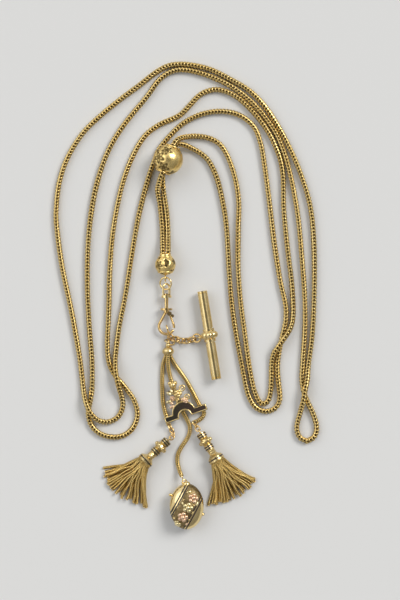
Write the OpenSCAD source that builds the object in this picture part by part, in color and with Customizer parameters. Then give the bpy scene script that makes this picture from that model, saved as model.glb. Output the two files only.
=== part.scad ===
// Long guard watch chain with a slide, swivel clip, toggle bar and fringed pendant,
// lying doubled up on a flat surface. Millimetres, surface at z = 0, clip end towards -Y.

/* [Long chain] */
// Thickness of the woven long chain
chain_d = 2.1; // [1.9:0.05:2.1]
// Thickness of the three fine chains of the pendant
fine_d = 1.6; // [1.3:0.05:1.6]

/* [Slide and end bead] */
// Diameter of the ball that slides on the doubled chain
slide_d = 12; // [11.8:0.1:12.2]
// Bore of the slide, which holds both strands
slide_bore_d = 4.8; // [4.7:0.05:4.9]
// Diameter of the bead that both chain ends go into
bead_d = 8.2; // [8:0.1:8.3]

/* [Swivel clip] */
// Wire of the hook and of its lever
hook_wire = 1.1; // [1:0.05:1.15]
// Radius of the hook's round end, at the middle of the wire
hook_r = 3; // [2.9:0.05:3.1]
// Diameter of the round plate above the hook
clip_plate_d = 4.8; // [4.6:0.1:5]
// Diameter of the shank that turns in the bow
shank_d = 1.5; // [1.4:0.05:1.6]

/* [Toggle bar] */
// Length of the toggle bar
bar_len = 35.6; // [34:0.2:37]
// Diameter of the toggle bar
bar_d = 4; // [3.7:0.1:4.1]
// Diameter over the lobed collar
collar_d = 6.9; // [6.8:0.1:7]

/* [Plaque] */
// Height of the plaque's straight ends
plaque_h = 2.5; // [2.4:0.1:2.7]
// Thickness of the plaque
plaque_t = 1.2; // [1:0.1:1.4]
// Depth of the enamel
enamel_t = 0.4; // [0.3:0.05:0.5]

/* [Tassels] */
// Diameter of the bell collar that the fringe hangs from
bell_d = 6.6; // [6.4:0.1:6.8]
// Length of a tassel's fringe from the bell collar
fringe_len = 17; // [16:0.5:18]

/* [Drop] */
// Width of the drop
drop_w = 13.6; // [13:0.1:14]
// Length of the drop
drop_len = 18.2; // [18:0.1:18.3]
// Thickness of the drop
drop_t = 9; // [8.6:0.1:9.4]

/* [Hidden] */

gold = "goldenrod";
pale_gold = "khaki";
black_enamel = "#2b201a";
gap = 0.06;
big = 60;

// Route of the long chain, hand-placed: x, y and, off the surface, the height of its middle.
// It starts at the end bead and runs through the slide, then round every loop of the heap.
first_run = [[-7.3, 16.45, 4.1], [-7.3, 17.5, 3.95], [-7.3, 19.2, 3.1], [-7.4, 22.5, 1.4],
    [-7.5, 27], [-8, 33.5],
    [-9.1, 41, 1.4], [-9.4, 45, 3.1], [-9.3, 48.2, 4.7], [-7.4, 53.6, 4.9], [-5.3, 58.8, 4.7],
    [-3.4, 60.1, 3.9], [-0.6, 59.8, 2.6], [2.4, 58.5, 1.2], [5.5, 56.7], [8.8, 53.6], [12, 47],
    [14.4, 37.5],
    [16, 27], [17, 10], [18.2, -4], [20.2, -17.5], [22.5, -30], [24, -37.4], [25.4, -41.5],
    [27.4, -44.6], [30.2, -46.2], [33.4, -46.2], [36.2, -44.4], [37.3, -41], [36.8, -35.5],
    [36.3, -28.5], [37.2, -21.5], [38.4, -16], [39.6, -10.5], [39.6, -4], [37.4, 6], [35, 21],
    [33, 38], [31, 53], [29.4, 61.5], [26.8, 67.4], [21.5, 71.7], [14.5, 73.4], [6.5, 72.4],
    [-1, 68.8], [-6.6, 63.6], [-10.8, 58.4], [-12.9, 53.6], [-15.4, 46], [-19, 32],
    [-21.8, 16.5], [-24.4, 0], [-27, -13], [-28.3, -23.5], [-28.4, -27.6, 2.3], [-28.2, -30.6, 3.3],
    [-27.2, -35.6, 3.3], [-25.9, -40.4, 1.5], [-25.4, -44.4], [-27.2, -48.6], [-31, -50.6],
    [-35, -50.1, 1.7], [-37.8, -47.6, 3.3], [-39.9, -43.4, 3.3], [-41, -39, 1.5], [-41.6, -34],
    [-42.8, -24], [-46, -6], [-49.6, 11], [-51.8, 27], [-52, 35], [-50.8, 45], [-47.6, 54.6],
    [-41.6, 64.4], [-34.6, 71.4], [-26.6, 78], [-19, 83.6], [-12.6, 88.6], [-7.6, 91.4],
    [-2.4, 92.2], [3.6, 91.6], [10.2, 89.8], [17.8, 86], [25.3, 81.5], [31.5, 75.1], [36.6, 67.4],
    [41, 59.2], [45.6, 48.4], [49.4, 35.5], [50.9, 20], [51, 0], [50.2, -16], [48.7, -28],
    [48.2, -33.6, 2.4], [47.4, -37.4, 3.3], [46.6, -42, 3.3], [45.6, -46.4, 1.5], [44.3, -51],
    [44.1, -54], [45.4, -57], [48, -58.3]];
second_run = [[50.6, -57.1], [51.9, -54.4], [51.7, -51], [50.4, -47], [48.7, -43.4], [47, -39],
    [46.1, -33.5],
    [46.5, -26], [47.3, -13], [47.2, 0], [46.2, 14], [44.7, 30], [42.6, 43], [40.2, 53],
    [37.4, 61], [34.7, 66.2], [29.6, 73.3], [23.5, 79.4], [16.7, 84], [9.3, 87.4], [2.8, 89.4],
    [-2.6, 90], [-7, 88.9], [-11.2, 85.6], [-16, 79], [-24.2, 69], [-30, 60], [-34, 50.5],
    [-37.2, 38], [-39.2, 22], [-39.6, 5], [-38.9, -12], [-37.8, -26], [-37.7, -37],
    [-38.5, -42.6], [-39.2, -47], [-38.2, -51.6], [-34.8, -55.2], [-30, -56.7], [-25, -56],
    [-21.2, -52.8], [-19.6, -47.6], [-21, -42], [-24.4, -37], [-28.2, -32.5], [-30.7, -27.6],
    [-31.6, -20], [-31, -5], [-30.6, 10], [-29.3, 26], [-26.2, 42], [-22.4, 53.4], [-17.2, 62.8],
    [-11.2, 67.8], [-3, 71.6], [1.2, 75.6], [5.2, 79.8], [9.6, 81.8], [13.6, 81.9], [17.8, 80.4],
    [22.2, 77.5], [27.8, 71.8], [32.7, 65], [35.4, 59.7], [37.5, 54], [38.6, 47], [38.9, 34],
    [40.2, 20], [42, 5], [42.6, -7], [41.8, -12.4, 2], [39.9, -16, 3.3], [37.4, -19.4, 3.3],
    [35.9, -21.6, 2.9], [34.8, -23.4, 2], [34, -27.5], [33.8, -36], [33.2, -40.6], [32.3, -42.7],
    [30.6, -43.5], [28.9, -42.4], [27.7, -40],
    [26.3, -35.5], [24.6, -26], [23, -13.5], [21.4, -1], [20.6, 12], [20.7, 27], [20.8, 38],
    [18.8, 49], [14.8, 58.4], [10.2, 62.2], [4.6, 63.4, 1.2], [0.8, 63.2, 2.4], [-2.2, 62.4, 4.8],
    [-4.4, 60.8, 6.7], [-5.5, 58.4, 7.15], [-7.4, 53.6, 7.15], [-9.7, 48.2, 7.15], [-10.8, 45, 5.3],
    [-11.5, 41.5, 2.6],
    [-10.6, 36, 1.1], [-9.8, 28], [-9.6, 22.5, 1.4], [-9.5, 19.2, 3.1], [-9.5, 17.5, 3.95],
    [-9.5, 16.45, 4.1]];

// Routes of the fine chains, hand-placed in the same way. They start in the pendant cap.
left_route = [[-8.15, -23.75, 1.85], [-8.2, -24.5, 1.7], [-8.9, -26.2, 1.2], [-9.5, -29],
    [-9.7, -34], [-9.6, -39.5],
    [-9.3, -43.4], [-8.7, -46.2, 1.2], [-7.9, -48.9, 1.45], [-7.3, -51, 1]];
centre_route = [[-7.3, -23.75, 3.3], [-7.3, -24.6, 3.2], [-7.4, -26, 2.9], [-7.2, -28.6, 2],
    [-6.8, -31.2], [-6, -34.4],
    [-4.9, -38], [-3.6, -41.6, 1.2], [-2.2, -44.8, 1.45], [-0.8, -47.8, 1.1], [0.4, -50], [1.3, -52.4],
    [1.3, -54.6], [0.6, -56.8], [-0.9, -59.2], [-2.5, -61.6], [-3.5, -64.2], [-3.6, -66.8],
    [-3.1, -69, 1.1], [-2.6, -70.6, 2], [-2, -71.9, 3]];
right_route = [[-6.45, -23.75, 1.85], [-6.4, -24.5, 1.7], [-5.7, -25.8, 1.2], [-4.4, -28],
    [-2.4, -30.8], [0, -34.2],
    [2, -37.8], [3.8, -41.2, 1.2], [5.5, -44.3, 1.45], [6.8, -46.1, 1.1], [7, -47.7], [6.1, -49.2],
    [4.8, -50.1, 0.85], [3.9, -50.6, 0.85]];

// Slide, bead and clip
slide_at = [-7.3, 53.8, slide_d / 2];
slide_yaw = 68;
slide_rim_r = 2.7;
bead_at = [-8.4, 12, bead_d / 2];
bead_neck_d = 5;
bead_neck_end = 4.3;
clip_x = -8;
clip_z = clip_plate_d / 2;
clip_ring_at = [-8.3, 4.6, 2.9];
clip_ring_r = 2.35;
clip_ring_wire = 0.65;
bow_top = 3;
bow_half = 1.45;
bow_wire = 0.8;
bow_roll = 34;
bow_plate = [-0.2, -1.1];
head_d = 2;
clip_plate = [-5.3, -6.1];
hook_top = -6.3;
hook_c = [clip_x, -12.6];
pivot = [-6.75, -7.45];
hook_start = 90 + acos(hook_r / (hook_top - hook_c[1]));
hook_end = 331;
pin_d = 0.7;
eye_d = 1.8;
lever_wire = 1;
lever_t = 0.9;
cheek_t = 0.4;

// Rings and links, hand-placed. A place is a middle and the turns about X, Y and Z.
wire = 0.65;
hook_ring_place = [[-7.3, -14.7, 2.4], [90, -15, 105]];
pendant_link_place = [[-6.1, -17.9, 1.2], [0, -10, 105]];
bail_place = [[-7.6, -18.2, 1.4], [0, 70, 90]];
bar_ring_place = [[4.1, -17.2, 2], [0, -20, 0]];
bar_loop_place = [[5.6, -17, 2.4], [90, 0, 0]];

// Toggle bar and the way of its links: where it starts, the middle of each link, where it ends
bar_way = [[-6.1, -17.9, 1.2], [-4.4, -17.6, 1.5], [-2.2, -18.2, 1.5], [0, -18.3, 1.5], [2.1, -17.8, 1.6],
    [4.1, -17.2, 2]];
bar_link_size = [4, 3.5, 0.7];
bar_rolls = [-50, 50, -50, 50];
bar_angle = -80.8;
bar_mid = [9.1, -16, collar_d / 2];
lobe_r = 1.5;

// Pendant cap, plaque and spray
cap_at = [-7.3, -23.6, 2.4];
plaque_at = [-0.7, -47.4, 2.3];
plaque_yaw = 18.9;
plaque_ends = [-8.3, 9.2];
arch_out = [-0.1, 0.45, 4.8];
arch_in = [-0.1, -1.1, 2.5];
enamel_out = [-0.1, 0.3, 4.35];
enamel_in = [-0.1, -0.8, 2.95];
rim_w = 0.48;
staple_r = 1.15;
staple_wire = 0.5;

// Links from a fine chain to its tassel, in the same way
tassel_link_size = [2.9, 2.2, 0.5];
left_way = [[-7.1, -51.7, 0.9], [-6.6, -52.8, 1.1], [-5.9, -54.1, 1.2], [-5.4, -55.4, 1.6],
    [-5.8, -56.7, 2.3],
    [-6.9, -57.5, 2.3]];
left_rolls = [-60, 30, -60, 20];
right_way = [[3.2, -51, 0.9], [3.6, -52, 1.4], [4.4, -53.3, 2], [5.2, -54.5, 2.3]];
right_rolls = [-70, 15];

// Tassels: place of the first band, direction of the axis and its dip towards the links
left_tassel = [[-8.3, -58.8, 2.45], 222, 5];
right_tassel = [[6.2, -56.1, 2.45], 301.5, 5];
// Head profile: distance along the axis and radius
head_profile = [[-1.3, 0], [-1.3, 1], [-1.05, 1.9], [0.95, 1.9], [1.3, 1.5], [1.8, 2.1], [2.7, 2.4],
    [3.6, 2.1], [4.1, 1.5], [4.5, 1.85], [6.35, 1.85], [6.6, 1.45], [7, 1.6], [7.4, 1.45],
    [7.8, 1.6], [8.3, 1.45], [8.8, 1.8], [9.7, 2.9], [10.1, 3.2], [11.6, 3.3], [11.6, 0]];
band_places = [-0.5, 0.45, 4.95, 5.9, 10.6];
band_w = 0.5;
band_depth = 0.3;
// Tips of the locks of a fringe: share of the fringe's length along the axis, sideways place, layer
left_tips = [[0.86, -8.4, 0], [0.93, -6.6, 1], [0.99, -4.2, 0], [1.0, -1.8, 1], [1.02, 0.8, 0],
    [1.0, 3.2, 1], [0.93, 5.8, 0], [0.86, 8.2, 1], [0.78, 10.6, 0], [0.72, 12.8, 1],
    [0.68, 14.4, 0]];
right_tips = [[0.84, -11.8, 0], [0.88, -9.6, 1], [0.92, -7.2, 0], [0.96, -4.8, 1], [0.99, -2.2, 0],
    [1.01, 0.4, 1], [1.0, 3, 0], [0.96, 5.4, 1], [0.92, 7.4, 0], [0.84, 9, 1]];

// Drop: middle, band slant and places, flowers as place, size and number of petals
drop_at = [0.1, -84.1, drop_t / 2];
band_slant = 28.5;
drop_bands = [-4, 3.5];
drop_band_w = 1.2;
drop_enamel_t = 0.35;
drop_flowers = [[2.6, 3.6, 1.5], [0.5, -0.2, 1.5], [-1.5, -3.7, 1.5], [-3.6, -6.4, 1.2]];
drop_leaves = [[1, 6.1, 1.1, 20], [4, 1.6, 1, 60], [-4.9, -4.4, 0.8, 0], [0.1, -6.4, 0.8, 40]];
bail_at = [-0.8, -74.4, 4.4];
bail_r = 0.95;

function unit(v) = v / norm(v);
function lying(route, d) = [for (p = route) [p[0], p[1], len(p) > 2 ? p[2] : d / 2]];
function heading(route, i) = unit(route[min(i + 1, len(route) - 1)] - route[max(i - 1, 0)]);
function ring_points(at, dir, half_w, half_h, sides) =
    let (across = unit(cross([0, 0, 1], dir)), up = cross(dir, across))
    [for (k = [0:sides - 1])
        at + half_w * cos(360 * k / sides) * across + half_h * sin(360 * k / sides) * up];
function sweep_faces(rings, sides) = concat(
    [[for (k = [0:sides - 1]) k]],
    [for (i = [0:rings - 2], k = [0:sides - 1])
        let (a = i * sides + k, b = i * sides + (k + 1) % sides) each
        [[a, a + sides, b + sides], [a, b + sides, b]]],
    [[for (k = [sides - 1:-1:0]) (rings - 1) * sides + k]]);
function bezier(a, b, c, t) = a * (1 - t) * (1 - t) + b * 2 * t * (1 - t) + c * t * t;

// A round strand swept along part of a route, one ring at each of its points
module strand(route, first, last, d, sides = 8) {
    rings = [for (i = [first:last]) each ring_points(route[i], heading(route, i), d / 2, d / 2, sides)];
    polyhedron(points = rings, faces = sweep_faces(last - first + 1, sides));
}

module wire_ring(mean_r, d) {
    rotate_extrude($fn = 64) translate([mean_r, 0]) circle(d = d, $fn = 24);
}

// An oval link lying flat, long side along X
module oval_link(long, wide, d) {
    mean_r = (wide - d) / 2;
    run = long - wide;
    for (side = [-1, 1]) {
        translate([side * run / 2, 0, 0]) rotate([0, 0, -side * 90])
            rotate_extrude(angle = 180, $fn = 64) translate([mean_r, 0]) circle(d = d, $fn = 24);
        translate([-run / 2, side * mean_r, 0]) rotate([0, 90, 0]) cylinder(d = d, h = run, $fn = 24);
    }
}

// A solid of revolution about X, from points of place along X and radius
module turned(profile, faces = 64) {
    rotate([0, 90, 0]) rotate([0, 0, 90])
        rotate_extrude($fn = faces) polygon([for (p = profile) [p[1], p[0]]]);
}

// Long chain
whole_route = lying(concat(first_run, second_run), chain_d);
module chain_first_run() {
    color(gold) strand(whole_route, 0, len(first_run) - 1, chain_d);
}
module chain_second_run() {
    color(gold) strand(whole_route, len(first_run) - 1, len(whole_route) - 1, chain_d);
}

// Slide: a ball with a bore right through and a thin rim round each mouth
module slide_ball() {
    mouth = sqrt(pow(slide_d / 2, 2) - pow(slide_bore_d / 2, 2));
    color(gold) translate(slide_at) rotate([0, 0, slide_yaw]) rotate([0, 90, 0])
        rotate_extrude($fn = 96) difference() {
            union() {
                circle(d = slide_d, $fn = 96);
                for (side = [-1, 1])
                    translate([slide_rim_r, side * (mouth - 0.15)]) circle(d = 0.6, $fn = 24);
            }
            translate([-big, -big / 2]) square([big + slide_bore_d / 2, big]);
        }
}

// Bead: round body, neck that both chain ends go into, lower rim and a small bail
module end_bead() {
    color(gold) translate(bead_at) {
        difference() {
            union() {
                sphere(d = bead_d, $fn = 96);
                rotate([-90, 0, 0]) cylinder(d = bead_neck_d, h = bead_neck_end, $fn = 64);
                translate([0, -2.9, 0]) rotate([90, 0, 0]) wire_ring(2.7, 0.8);
                translate([0, -5.2, -0.9]) rotate([0, 90, 0]) wire_ring(1.25, 0.6);
            }
            translate([0.6, 0.8, bead_d / 2 + 1]) sphere(r = 1.9, $fn = 48);
        }
    }
}

// Clip: loose ring, bow, hook with its shank and plate, and the lever
module clip_ring() {
    color(pale_gold) translate(clip_ring_at) rotate([0, -18, 0]) rotate([7, 0, 0])
        wire_ring(clip_ring_r, clip_ring_wire);
}

module swivel_bow() {
    color(gold) translate([clip_x, 0, clip_z]) rotate([0, bow_roll, 0]) difference() {
        union() {
            translate([0, bow_top, 0]) rotate_extrude(angle = 180, $fn = 64)
                translate([bow_half, 0]) circle(d = bow_wire, $fn = 24);
            for (side = [-1, 1])
                translate([side * bow_half, bow_top + 0.2, 0]) rotate([90, 0, 0])
                    cylinder(d = bow_wire + 0.1, h = bow_top + 0.2 - bow_plate[0] + 0.3, $fn = 24);
            translate([0, bow_plate[0], 0]) rotate([90, 0, 0])
                cylinder(r = bow_half + bow_wire / 2 + 0.2, h = bow_plate[0] - bow_plate[1], $fn = 48);
        }
        translate([0, bow_plate[0] + 1, 0]) rotate([90, 0, 0])
            cylinder(d = shank_d + 2 * gap, h = 4, $fn = 48);
    }
}

// Head, shank, plate and knuckle, turned in one
module hook_core() {
    head = -bow_plate[0] - gap;
    plate = [-clip_plate[0], -clip_plate[1]];
    translate([clip_x, 0, 0]) rotate([0, 0, -90])
        turned([[head - 0.7, 0], [head - 0.7, head_d / 2], [head, head_d / 2], [head, shank_d / 2],
            [plate[0], shank_d / 2], [plate[0], clip_plate_d / 2], [plate[1], clip_plate_d / 2],
            [plate[1], 1.1], [plate[1] + 0.9, 1.1], [plate[1] + 1.3, 0.7], [plate[1] + 1.3, 0]]);
}

// The crook: one wire swept along a straight run and a round end that narrows to its tip
module hook_crook() {
    from = [clip_x, hook_top, 0];
    middle = [hook_c[0], hook_c[1], 0];
    round_end = [for (turn = [hook_start:(hook_end - hook_start) / 22:hook_end + 0.1])
        middle + hook_r * [cos(turn), sin(turn), 0]];
    tip = [for (turn = [hook_end + 3.5, hook_end + 6]) middle + hook_r * [cos(turn), sin(turn), 0]];
    path = concat([from, from * 0.5 + round_end[0] * 0.5], round_end, tip);
    last = len(path) - 1;
    rings = [for (i = [0:last]) let (r = hook_wire / 2 * (i == last ? 0.5 : (i == last - 1 ? 0.85 : 1)))
        each ring_points(path[i], heading(path, i), r, r, 12)];
    polyhedron(points = rings, faces = sweep_faces(last + 1, 12));
}

module clip_hook() {
    color(gold) translate([0, 0, clip_z]) {
        difference() {
            union() {
                hook_core();
                hook_crook();
                for (side = [-1, 1])
                    translate([pivot[0], pivot[1], side * (lever_t + cheek_t + 2 * gap) / 2])
                        cylinder(d = eye_d, h = cheek_t, center = true, $fn = 48);
            }
            translate([pivot[0], pivot[1], 0])
                cylinder(d = eye_d + 0.2, h = lever_t + 2 * gap, center = true, $fn = 48);
        }
        translate([pivot[0], pivot[1], 0])
            cylinder(d = pin_d, h = lever_t + 2 * cheek_t, center = true, $fn = 32);
    }
}

module clip_lever() {
    knee = hook_c + hook_r * [cos(30), sin(30)];
    along = knee - pivot;
    color(pale_gold) translate([0, 0, clip_z]) difference() {
        union() {
            translate([pivot[0], pivot[1], 0]) cylinder(d = eye_d, h = lever_t, center = true, $fn = 48);
            translate([pivot[0], pivot[1], 0]) rotate([0, 0, atan2(along[1], along[0])])
                rotate([0, 90, 0]) cylinder(d = lever_t, h = norm(along), $fn = 32);
            translate([knee[0], knee[1], 0]) sphere(d = lever_wire, $fn = 32);
            translate([hook_c[0], hook_c[1], 0]) rotate([0, 0, -12])
                rotate_extrude(angle = 42, $fn = 96) translate([hook_r, 0])
                    circle(d = lever_wire, $fn = 32);
            translate([-5.6, -8.3, 0]) cylinder(d = 1.3, h = lever_t, center = true, $fn = 32);
        }
        translate([pivot[0], pivot[1], 0])
            cylinder(d = pin_d + 2 * gap, h = lever_t + 1, center = true, $fn = 32);
    }
}

// Rings and links between the hook, the pendant and the bar
module placed(place) {
    translate(place[0]) rotate(place[1]) children();
}

module hook_ring() {
    color(pale_gold) placed(hook_ring_place) oval_link(5.9, 3.2, wire);
}

module pendant_link() {
    color(gold) placed(pendant_link_place) oval_link(4.8, 2.9, wire);
}

// A link of a short chain. It lies along the chain's way and is rolled about it.
module chain_link(way, rolls, size, i) {
    dir = heading(way, i);
    color(gold) placed([way[i], [rolls[i - 1], -asin(dir[2]), atan2(dir[1], dir[0])]])
        oval_link(size[0], size[1], size[2]);
}

module bar_link(i) {
    chain_link(bar_way, bar_rolls, bar_link_size, i);
}

module left_link(i) {
    chain_link(left_way, left_rolls, tassel_link_size, i);
}

module right_link(i) {
    chain_link(right_way, right_rolls, tassel_link_size, i);
}

module bar_ring() {
    color(pale_gold) placed(bar_ring_place) wire_ring(1.6, 0.7);
}

module t_bar() {
    half = bar_len / 2;
    r = bar_d / 2;
    color(pale_gold) union() {
        translate(bar_mid) rotate([0, 0, bar_angle]) {
            for (side = [-1, 1])
                turned([[side * 1.7, 0], [side * 1.7, r + 0.35], [side * 2.6, r + 0.35],
    [side * 2.6, r - 0.35],
                    [side * 3, r - 0.35], [side * 3, r], [side * (half - 0.9), r],
                    [side * (half - 0.75), r - 0.15], [side * (half - 0.6), r],
                    [side * (half - 0.1), r], [side * half, r - 0.1], [side * half, 0]]);
            turned([[-1.8, 0], [-1.8, 2.2], [-1.1, 2.6], [1.1, 2.6], [1.8, 2.2], [1.8, 0]]);
            for (k = [0:7]) rotate([45 * k, 0, 0]) translate([0, collar_d / 2 - lobe_r, 0])
                sphere(r = lobe_r, $fn = 32);
        }
        placed(bar_loop_place) wire_ring(1.1, 0.6);
    }
}

// Turned cap that the three fine chains hang from, with its bail
module pendant_cap() {
    color(pale_gold) union() {
        translate(cap_at) rotate([0, 0, 90])
            turned([[0, 0], [0, 1.9], [0.5, 2.25], [1.1, 2.4], [1.7, 2.25], [2.3, 1.8], [2.8, 1.2],
                [3, 0.9], [3, 0]]);
        translate([-7.4, -20.1, 2]) sphere(r = 1, $fn = 48);
        translate([-7.55, -19.05, 2.3]) sphere(r = 0.6, $fn = 48);
        placed(bail_place) wire_ring(1.1, 0.5);
    }
}

// Fine chains, each with a round end ring fused to its last link
module end_ring(route, reach, roll) {
    last = route[len(route) - 1];
    dir = heading(route, len(route) - 1);
    yaw = atan2(dir[1], dir[0]);
    pitch = -asin(dir[2]);
    translate(last + reach * dir) rotate([0, pitch, yaw]) rotate([roll, 0, 0])
        rotate_extrude($fn = 16) translate([0.85, 0]) circle(d = 0.55, $fn = 6);
}

module fine_chain(route, roll) {
    path = lying(route, fine_d);
    color(gold) union() {
        strand(path, 0, len(path) - 1, fine_d);
        end_ring(path, 0.75, roll);
    }
}

// Plaque: a bar bent up into an arch, grooved for enamel, with the spray and the back staples
module plaque_outline(out, inside, low, high, half_h) {
    difference() {
        union() {
            translate([low, -half_h]) square([high - low, 2 * half_h]);
            intersection() {
                translate([out[0], out[1]]) circle(r = out[2], $fn = 96);
                translate([-big / 2, -half_h]) square(big);
            }
        }
        translate([inside[0], inside[1]]) circle(r = inside[2], $fn = 96);
        translate([inside[0] - inside[2], -big / 2]) square([2 * inside[2], big / 2 + inside[1]]);
    }
}

module staple(route) {
    dir = heading(route, 8);
    translate([route[8][0], route[8][1], 1.45]) rotate([0, 0, atan2(dir[1], dir[0])]) rotate([0, 90, 0])
        wire_ring(staple_r, staple_wire);
}

module stem(a, b, w) {
    translate(a) rotate(atan2(b[1] - a[1], b[0] - a[0])) translate([0, -w / 2]) square([norm(b - a), w]);
    translate(b) circle(d = w, $fn = 24);
}

module curl(at, mean_r, w) {
    translate(at) difference() {
        circle(r = mean_r + w / 2, $fn = 32);
        circle(r = mean_r - w / 2, $fn = 32);
    }
}

module leaf(at, r) {
    translate(at) circle(r = r, $fn = 24);
}

module spray() {
    z = plaque_at[2] + 0.25;
    translate([0, 0, z]) linear_extrude(0.5) {
        stem([-3.6, -43.8], [-4.2, -40.2], 0.8);
        stem([-4.2, -40.2], [-4.9, -37], 0.8);
        stem([-4.2, -40.2], [-2.6, -37.8], 0.6);
        stem([-3.7, -42.4], [-0.6, -41], 0.6);
        stem([-4.2, -40.2], [-6.2, -39.2], 0.6);
        stem([-3.8, -41.6], [-6, -42.4], 0.6);
        curl([-1.8, -37.1], 1, 0.5);
        curl([0.2, -40.4], 0.9, 0.5);
        curl([-5.3, -36], 1, 0.6);
        leaf([-6.6, -38.9], 0.9);
        leaf([-6.5, -42.6], 0.9);
        leaf([-1.4, -42.6], 0.9);
    }
    translate([-3.4, -39.2, z + 0.3]) cylinder(r = 1.3, h = 0.6, $fn = 48);
    for (x = [-6.3, -4.3]) translate([x, -35.2, z + 0.45]) sphere(r = 0.6, $fn = 32);
}

module plaque() {
    color(gold) union() {
        difference() {
            translate(plaque_at) rotate([0, 0, plaque_yaw]) linear_extrude(plaque_t)
                plaque_outline(arch_out, arch_in, plaque_ends[0], plaque_ends[1], plaque_h / 2);
            translate(plaque_at + [0, 0, plaque_t - enamel_t]) rotate([0, 0, plaque_yaw])
                linear_extrude(enamel_t + 1)
                    plaque_outline(enamel_out, enamel_in, plaque_ends[0] + 0.4, plaque_ends[1] - 0.5,
                        plaque_h / 2 - rim_w);
        }
        for (route = [left_route, centre_route, right_route]) staple(lying(route, fine_d));
        spray();
    }
}

module plaque_enamel() {
    color(black_enamel) translate(plaque_at + [0, 0, plaque_t - enamel_t + 0.02])
        rotate([0, 0, plaque_yaw]) linear_extrude(enamel_t)
            plaque_outline([enamel_out[0], enamel_out[1], enamel_out[2] - gap / 2],
                [enamel_in[0], enamel_in[1], enamel_in[2] + gap / 2],
                plaque_ends[0] + 0.4 + gap / 2, plaque_ends[1] - 0.5 - gap / 2,
                plaque_h / 2 - rim_w - gap / 2);
}

// Tassels: the head is turned with grooves for enamel and has flowers round its middle
module along_axis(tassel) {
    translate(tassel[0]) rotate([0, 0, tassel[1]]) rotate([0, -tassel[2], 0]) children();
}

module band(place, grow) {
    r = place > 8 ? 3.25 : (place > 4 ? 1.85 : 1.9);
    turned([[place - band_w / 2 - grow, r - band_depth - grow], [place - band_w / 2 - grow, r + 2 * grow],
        [place + band_w / 2 + grow, r + 2 * grow], [place + band_w / 2 + grow, r - band_depth - grow]]);
}

module tassel_head(tassel) {
    color(gold) along_axis(tassel) difference() {
        union() {
            turned(head_profile);
            for (k = [0:5]) rotate([60 * k, 0, 0]) translate([2.7, 2.1, 0]) sphere(r = 0.8, $fn = 32);
            translate([-1.9, 0, 0]) rotate([90, 0, 0]) wire_ring(1, 0.5);
        }
        for (place = band_places) band(place, gap / 2);
    }
}

module tassel_enamel(tassel) {
    color(black_enamel) along_axis(tassel) for (place = band_places) band(place, 0);
}

// One lock of a fringe: an oval strip that leaves the bell, bends down and ends at its tip
module lock(start, tip, half_w, half_h, rings) {
    bend = [start[0] + (tip[0] - start[0]) * 0.45, start[1] * 0.9 + tip[1] * 0.25, start[2] * 0.8];
    path = [for (i = [0:rings - 1]) bezier(start, bend, tip, i / (rings - 1))];
    points = [for (i = [0:rings - 1])
        let (grow = 0.75 + 0.25 * i / (rings - 1))
        each ring_points(path[i], heading(path, i), half_w * grow, half_h, 8)];
    polyhedron(points = points, faces = sweep_faces(rings, 8));
}

module fringe(tassel, tips) {
    bell = 11.6;
    count = len(tips);
    color(gold) translate([tassel[0][0], tassel[0][1], 0]) rotate([0, 0, tassel[1]]) union() {
        translate([0, 0, tassel[0][2]]) rotate([0, -tassel[2], 0]) translate([bell + gap, 0, 0])
            rotate([0, 90, 0]) cylinder(r = 2.9, h = 1.4, $fn = 16);
        for (i = [0:count - 1])
            let (share = (i + 0.5) / count * 2 - 1, tip = tips[i])
            lock([bell + gap + 0.75, 2.3 * share, tip[2] == 0 ? 2.6 : 4],
                [bell + fringe_len * tip[0] * 0.97, tip[1], tip[2] == 0 ? 1.15 : 1.5], 1.35, 1.15, 6);
    }
}

// Drop: a plump oval with two slanting enamel bands, flowers, leaves and a bail
function oval_rings(inset, rows, sides) = [for (i = [1:rows - 1], k = [0:sides - 1])
    let (turn = 180 * i / rows, round = 360 * k / sides)
    [(drop_w / 2 - inset) * sin(turn) * cos(round), -(drop_len / 2 - inset) * cos(turn),
        (drop_t / 2 - inset) * sin(turn) * sin(round)]];

module oval_body(inset, rows = 16, sides = 28) {
    low = [0, -(drop_len / 2 - inset), 0];
    points = concat([low], oval_rings(inset, rows, sides), [-low]);
    last = len(points) - 1;
    faces = concat(
        [for (k = [0:sides - 1]) [0, 1 + (k + 1) % sides, 1 + k]],
        [for (i = [0:rows - 3], k = [0:sides - 1])
            let (a = 1 + i * sides + k, b = 1 + i * sides + (k + 1) % sides) each
            [[a, b, b + sides], [a, b + sides, a + sides]]],
        [for (k = [0:sides - 1]) [last, last - sides + k, last - sides + (k + 1) % sides]]);
    polyhedron(points = points, faces = faces);
}

module band_slab(place, w) {
    rotate([0, 0, -band_slant]) translate([place - w / 2, -big / 2, -big / 2]) cube([w, big, big]);
}

function height_at(x, y) = drop_t / 2
    * sqrt(max(0.01, 1 - pow(x / (drop_w / 2), 2) - pow(y / (drop_len / 2), 2)));

module on_front(x, y) {
    lean = unit([x / pow(drop_w / 2, 2), y / pow(drop_len / 2, 2), height_at(x, y) / pow(drop_t / 2, 2)]);
    translate([x, y, height_at(x, y)]) rotate([0, acos(lean[2]), atan2(lean[1], lean[0])])
        translate([0, 0, -0.7]) linear_extrude(1.2) children();
}

module petals(r) {
    for (k = [0:4]) rotate(72 * k) translate([r * 0.55, 0]) circle(r = r * 0.45, $fn = 8);
}

module drop_cap(grow) {
    translate([0.05, -75.2, drop_t / 2]) rotate([70, 0, 0])
        cylinder(r1 = 0.8 + grow, r2 = 1.6 + grow, h = 1.6 + 2 * grow, center = true, $fn = 12);
}

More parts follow.
